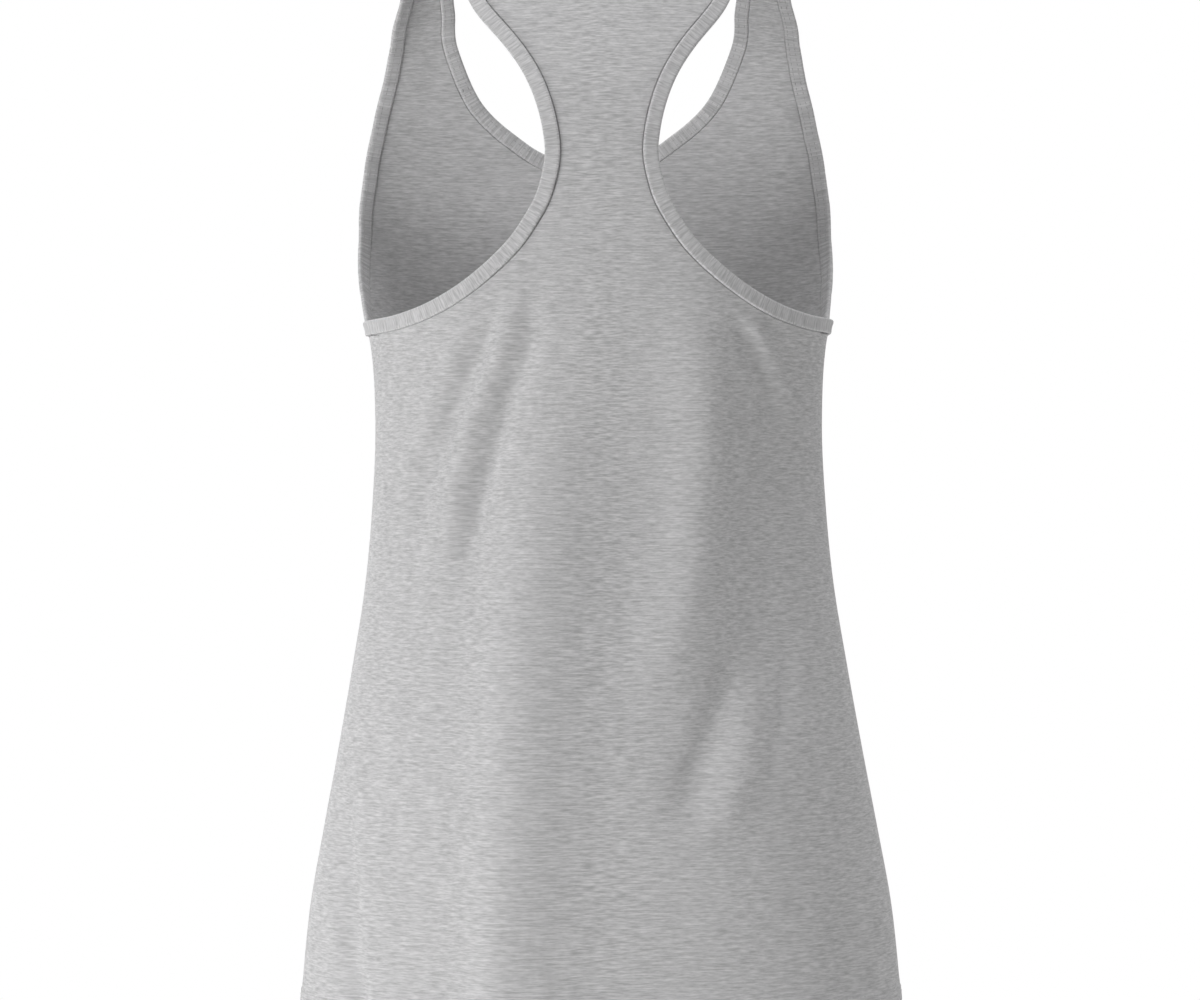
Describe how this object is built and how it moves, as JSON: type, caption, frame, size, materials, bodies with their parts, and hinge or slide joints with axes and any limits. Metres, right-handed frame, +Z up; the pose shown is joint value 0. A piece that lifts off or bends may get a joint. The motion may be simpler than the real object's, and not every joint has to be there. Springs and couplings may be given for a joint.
{
  "type": "tank top",
  "caption": "Sleeveless racerback tank top in light jersey, filled out as if worn, with bound neck and armholes and a flared turned-up hem.",
  "frame": {"origin": "midway between the tops of the two shoulder straps, where a wearer's shoulders hold the garment", "axes": "+Z up, the front of the garment faces -Y, the wearer's left is +X"},
  "size_m": [0.373, 0.2559, 0.6569],
  "materials": {
    "jersey": "heather grey single jersey, matt with fine streaks along the courses",
    "binding_jersey": "the same heather grey jersey folded into a narrow band"
  },
  "bodies": {
    "root": {"front": "jersey", "back": "jersey", "neck_binding": "binding_jersey", "armhole_binding_left": "binding_jersey", "armhole_binding_right": "binding_jersey"}
  },
  "joints": []
}
